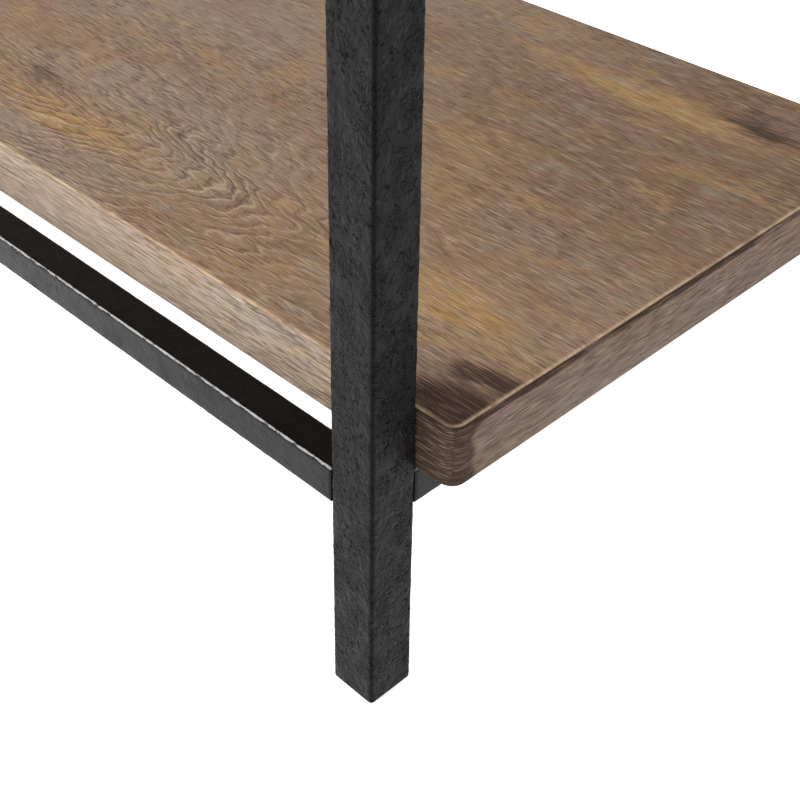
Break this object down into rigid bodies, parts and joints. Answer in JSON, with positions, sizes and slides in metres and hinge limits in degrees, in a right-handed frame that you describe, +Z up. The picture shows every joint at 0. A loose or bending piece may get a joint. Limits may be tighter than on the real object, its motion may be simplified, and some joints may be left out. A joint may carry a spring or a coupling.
{
  "type": "console table",
  "caption": "Console table with a welded square-tube steel frame, an oak-veneered top board, a matching lower shelf that overhangs the ends, and levelling feet.",
  "frame": {"origin": "on the floor at the centre of the table's footprint, with all feet screwed in", "axes": "+X along the table, -Y the front, +Z up"},
  "size_m": [1.27, 0.47, 0.762],
  "materials": {
    "hammered_black_steel": "hammered dark grey-black lacquer, satin",
    "oak_face": "wire-brushed grey-brown oak veneer with a matt lacquer",
    "oak_lipping": "brushed grey-brown oak lipping with a matt lacquer",
    "oak_backing": "plain unbrushed veneer, sealed",
    "board_core": "medium-density fibreboard",
    "black_screw_steel": "black oxide",
    "zinc_plated_steel": "bright zinc plate",
    "black_nylon": "moulded nylon"
  },
  "bodies": {
    "frame": {"foot_insert_front_left": "black_nylon", "foot_insert_front_right": "black_nylon", "foot_insert_rear_left": "black_nylon", "foot_insert_rear_right": "black_nylon", "foot_nut_front_left": "zinc_plated_steel", "foot_nut_front_right": "zinc_plated_steel", "foot_nut_rear_left": "zinc_plated_steel", "foot_nut_rear_right": "zinc_plated_steel", "leg_front_left": "hammered_black_steel", "leg_front_right": "hammered_black_steel", "leg_rear_left": "hammered_black_steel", "leg_rear_right": "hammered_black_steel", "shelf_backing_veneer": "oak_backing", "shelf_core": "board_core", "shelf_cross_rail": "hammered_black_steel", "shelf_face_veneer": "oak_face", "shelf_lipping_front": "oak_lipping", "shelf_lipping_left": "oak_lipping", "shelf_lipping_rear": "oak_lipping", "shelf_lipping_right": "oak_lipping", "shelf_rail_front": "hammered_black_steel", "shelf_rail_left": "hammered_black_steel", "shelf_rail_rear": "hammered_black_steel", "shelf_rail_right": "hammered_black_steel", "shelf_rail_weld_beads": "hammered_black_steel", "shelf_screws": "black_screw_steel", "top_backing_veneer": "oak_backing", "top_core": "board_core", "top_cross_rail": "hammered_black_steel", "top_face_veneer": "oak_face", "top_lipping_front": "oak_lipping", "top_lipping_left": "oak_lipping", "top_lipping_rear": "oak_lipping", "top_lipping_right": "oak_lipping", "top_rail_front": "hammered_black_steel", "top_rail_left": "hammered_black_steel", "top_rail_rear": "hammered_black_steel", "top_rail_right": "hammered_black_steel", "top_rail_weld_beads": "hammered_black_steel", "top_screws": "black_screw_steel"},
    "pad_front_left": {"foot_pad_front_left": "black_nylon"},
    "stem_front_left": {"foot_stem_front_left": "zinc_plated_steel"},
    "pad_front_right": {"foot_pad_front_right": "black_nylon"},
    "stem_front_right": {"foot_stem_front_right": "zinc_plated_steel"},
    "pad_rear_left": {"foot_pad_rear_left": "black_nylon"},
    "stem_rear_left": {"foot_stem_rear_left": "zinc_plated_steel"},
    "pad_rear_right": {"foot_pad_rear_right": "black_nylon"},
    "stem_rear_right": {"foot_stem_rear_right": "zinc_plated_steel"}
  },
  "joints": [
    {"name": "foot_travel_front_left", "type": "slide", "parent": "frame", "child": "pad_front_left", "axis": [0, 0, -1], "range_m": [0, 0.01]},
    {"name": "foot_turn_front_left", "type": "hinge", "parent": "pad_front_left", "child": "stem_front_left", "pos_m": [-0.6016, -0.20155, 0], "axis": [0, 0, -1], "range_deg": [0, 2880]},
    {"name": "foot_travel_front_right", "type": "slide", "parent": "frame", "child": "pad_front_right", "axis": [0, 0, -1], "range_m": [0, 0.01]},
    {"name": "foot_turn_front_right", "type": "hinge", "parent": "pad_front_right", "child": "stem_front_right", "pos_m": [0.6016, -0.20155, 0], "axis": [0, 0, -1], "range_deg": [0, 2880]},
    {"name": "foot_travel_rear_left", "type": "slide", "parent": "frame", "child": "pad_rear_left", "axis": [0, 0, -1], "range_m": [0, 0.01]},
    {"name": "foot_turn_rear_left", "type": "hinge", "parent": "pad_rear_left", "child": "stem_rear_left", "pos_m": [-0.6016, 0.20155, 0], "axis": [0, 0, -1], "range_deg": [0, 2880]},
    {"name": "foot_travel_rear_right", "type": "slide", "parent": "frame", "child": "pad_rear_right", "axis": [0, 0, -1], "range_m": [0, 0.01]},
    {"name": "foot_turn_rear_right", "type": "hinge", "parent": "pad_rear_right", "child": "stem_rear_right", "pos_m": [0.6016, 0.20155, 0], "axis": [0, 0, -1], "range_deg": [0, 2880]}
  ],
  "couplings": [
    {"joint": "foot_travel_front_left", "follows": "foot_turn_front_left", "m_per_rad": 0.00019894},
    {"joint": "foot_travel_front_right", "follows": "foot_turn_front_right", "m_per_rad": 0.00019894},
    {"joint": "foot_travel_rear_left", "follows": "foot_turn_rear_left", "m_per_rad": 0.00019894},
    {"joint": "foot_travel_rear_right", "follows": "foot_turn_rear_right", "m_per_rad": 0.00019894}
  ]
}
